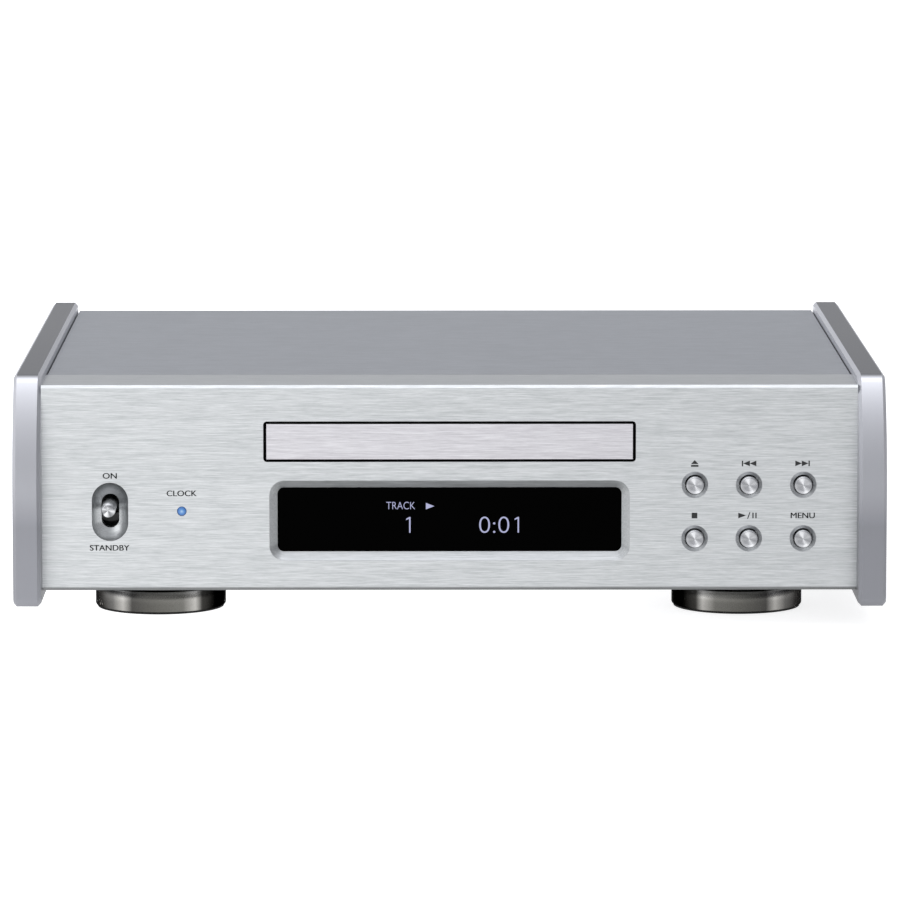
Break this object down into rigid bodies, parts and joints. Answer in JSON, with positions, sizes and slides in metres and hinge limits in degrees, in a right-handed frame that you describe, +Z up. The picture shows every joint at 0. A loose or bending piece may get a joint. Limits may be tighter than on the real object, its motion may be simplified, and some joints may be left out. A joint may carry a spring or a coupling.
{
  "type": "compact disc player",
  "caption": "Compact disc player with a brushed front, thick end plates, motor tray, display window, keys, toggle switch and spiked feet.",
  "frame": {"origin": "on the resting plane, under the middle of the whole object's bounding box", "axes": "+X to the right seen from the front, -Y out of the front panel, +Z up"},
  "size_m": [0.29, 0.253, 0.0845],
  "materials": {
    "zinc_plated_steel": "plated sheet, rod or screw",
    "turned_button_aluminium": "turned face",
    "black_plastic": "moulded",
    "nickel_plate": "nickel plated",
    "gold_plate": "gold plated",
    "soft_rubber": "matte",
    "tray_plastic": "fine moulded texture",
    "display_cell_black": "glass cell and board",
    "smoked_glass": "gloss, near-black",
    "capacitor_sleeve": "sleeved can",
    "dark_nickel_steel": "turned, dark nickel",
    "felt_pad": "matte",
    "brushed_silver_aluminium": "fine horizontal brush, satin anodised",
    "black_anodised": "extruded, anodised",
    "circuit_board_green": "solder mask",
    "belt_rubber": "matte",
    "white_acetal": "moulded acetal",
    "lens_glass": "moulded lens in its holder",
    "rear_black_paint": "fine textured paint",
    "blasted_aluminium": "bead blasted, satin anodised",
    "lamp_blue": "blue lens, lit",
    "turned_lever_metal": "turned and polished",
    "brushed_cover_aluminium": "brushed, satin anodised",
    "transformer_wrap": "taped winding",
    "bezel_aluminium": "satin anodised",
    "turntable_plastic": "moulded, rubber ringed"
  },
  "bodies": {
    "base": {"board_screws": "zinc_plated_steel", "bottom_chassis": "zinc_plated_steel", "chassis_posts": "zinc_plated_steel", "chassis_sides": "zinc_plated_steel", "clamp_bridge": "zinc_plated_steel", "clock_jack": "nickel_plate", "coax_jack": "gold_plate", "damper_grommets": "soft_rubber", "display_module": "display_cell_black", "display_window": "smoked_glass", "filter_capacitors": "capacitor_sleeve", "foot_front_left": "dark_nickel_steel", "foot_front_right": "dark_nickel_steel", "foot_pads": "felt_pad", "foot_rear": "dark_nickel_steel", "foot_spikes": "zinc_plated_steel", "front_panel": "brushed_silver_aluminium", "heat_sink": "black_anodised", "key_board": "circuit_board_green", "loader_base": "black_plastic", "loading_belt": "belt_rubber", "loading_motor": "zinc_plated_steel", "main_board": "circuit_board_green", "optical_jack": "black_plastic", "power_inlet": "black_plastic", "rear_panel": "rear_black_paint", "rear_screws": "zinc_plated_steel", "side_panel_left": "blasted_aluminium", "side_panel_right": "blasted_aluminium", "side_panel_screws": "zinc_plated_steel", "status_lamp": "lamp_blue", "supply_board": "circuit_board_green", "toggle_switch": "black_plastic", "top_cover": "brushed_cover_aluminium", "transformer": "transformer_wrap", "transformer_clamp": "zinc_plated_steel", "tray_rails": "black_plastic"},
    "tray": {"disc_tray": "tray_plastic", "tray_front": "bezel_aluminium"},
    "tray_pinion": {"tray_pinion": "white_acetal"},
    "pulley_gear": {"pulley_gear": "white_acetal"},
    "motor_pulley": {"motor_pulley": "white_acetal"},
    "cam": {"cam_slide": "black_plastic"},
    "traverse": {"traverse_chassis": "zinc_plated_steel", "guide_rods": "zinc_plated_steel", "spindle_motor": "zinc_plated_steel", "sled_motor": "zinc_plated_steel"},
    "turntable": {"turntable": "turntable_plastic"},
    "sled": {"pickup_sled": "black_plastic"},
    "lens": {"objective_lens": "lens_glass"},
    "sled_screw": {"sled_screw": "zinc_plated_steel"},
    "clamper": {"disc_clamper": "black_plastic"},
    "toggle": {"toggle_lever": "turned_lever_metal"},
    "shutter": {"optical_shutter": "black_plastic"},
    "button_eject": {"button_eject": "turned_button_aluminium"},
    "button_previous": {"button_previous": "turned_button_aluminium"},
    "button_next": {"button_next": "turned_button_aluminium"},
    "button_stop": {"button_stop": "turned_button_aluminium"},
    "button_play_pause": {"button_play_pause": "turned_button_aluminium"},
    "button_menu": {"button_menu": "turned_button_aluminium"}
  },
  "joints": [
    {"name": "tray_slide", "type": "slide", "parent": "base", "child": "tray", "axis": [0, -1, 0], "range_m": [0, 0.132]},
    {"name": "tray_pinion_spin", "type": "hinge", "parent": "base", "child": "tray_pinion", "pos_m": [-0.037, -0.09219, 0.057], "axis": [0, 0, 1], "range_deg": [0, 757]},
    {"name": "pulley_gear_spin", "type": "hinge", "parent": "base", "child": "pulley_gear", "pos_m": [-0.021, -0.09219, 0.054], "axis": [0, 0, 1], "range_deg": [-1261, 0]},
    {"name": "motor_pulley_spin", "type": "hinge", "parent": "base", "child": "motor_pulley", "pos_m": [0.012, -0.088, 0.052], "axis": [0, 0, 1], "range_deg": [-5043, 0]},
    {"name": "traverse_lift", "type": "slide", "parent": "base", "child": "traverse", "axis": [0, 0, 1], "range_m": [0, 0.007]},
    {"name": "cam_travel", "type": "slide", "parent": "base", "child": "cam", "axis": [1, 0, 0], "range_m": [0, 0.016]},
    {"name": "turntable_spin", "type": "hinge", "parent": "traverse", "child": "turntable", "pos_m": [0, -0.043, 0.052], "axis": [0, 0, 1], "continuous": true},
    {"name": "sled_travel", "type": "slide", "parent": "traverse", "child": "sled", "axis": [0, 1, 0], "range_m": [0, 0.035]},
    {"name": "sled_screw_spin", "type": "hinge", "parent": "traverse", "child": "sled_screw", "pos_m": [0.035, 0, 0.0465], "axis": [0, 1, 0], "range_deg": [0, 4201]},
    {"name": "lens_focus", "type": "slide", "parent": "sled", "child": "lens", "axis": [0, 0, 1], "range_m": [-0.0005, 0.0005], "stiffness_N_per_m": 60},
    {"name": "clamper_spin", "type": "hinge", "parent": "base", "child": "clamper", "pos_m": [0, -0.043, 0.07], "axis": [0, 0, 1], "continuous": true},
    {"name": "toggle_swing", "type": "hinge", "parent": "base", "child": "toggle", "pos_m": [-0.1131, -0.1024, 0.041], "axis": [1, 0, 0], "range_deg": [0, 18]},
    {"name": "shutter_swing", "type": "hinge", "parent": "base", "child": "shutter", "pos_m": [0.082, 0.1177, 0.043], "axis": [1, 0, 0], "range_deg": [-80, 0], "stiffness_Nm_per_rad": 0.0004, "springref_deg": 11.46},
    {"name": "press_eject", "type": "slide", "parent": "base", "child": "button_eject", "axis": [0, 1, 0], "range_m": [0, 0.0008], "stiffness_N_per_m": 900},
    {"name": "press_previous", "type": "slide", "parent": "base", "child": "button_previous", "axis": [0, 1, 0], "range_m": [0, 0.0008], "stiffness_N_per_m": 900},
    {"name": "press_next", "type": "slide", "parent": "base", "child": "button_next", "axis": [0, 1, 0], "range_m": [0, 0.0008], "stiffness_N_per_m": 900},
    {"name": "press_stop", "type": "slide", "parent": "base", "child": "button_stop", "axis": [0, 1, 0], "range_m": [0, 0.0008], "stiffness_N_per_m": 900},
    {"name": "press_play_pause", "type": "slide", "parent": "base", "child": "button_play_pause", "axis": [0, 1, 0], "range_m": [0, 0.0008], "stiffness_N_per_m": 900},
    {"name": "press_menu", "type": "slide", "parent": "base", "child": "button_menu", "axis": [0, 1, 0], "range_m": [0, 0.0008], "stiffness_N_per_m": 900}
  ],
  "couplings": [
    {"joint": "tray_pinion_spin", "follows": "tray_slide", "rad_per_m": 100},
    {"joint": "pulley_gear_spin", "follows": "tray_slide", "rad_per_m": -166.67},
    {"joint": "motor_pulley_spin", "follows": "tray_slide", "rad_per_m": -666.67},
    {"joint": "cam_travel", "follows": "traverse_lift", "ratio": 2.2857},
    {"joint": "sled_screw_spin", "follows": "sled_travel", "rad_per_m": 2094.4}
  ]
}
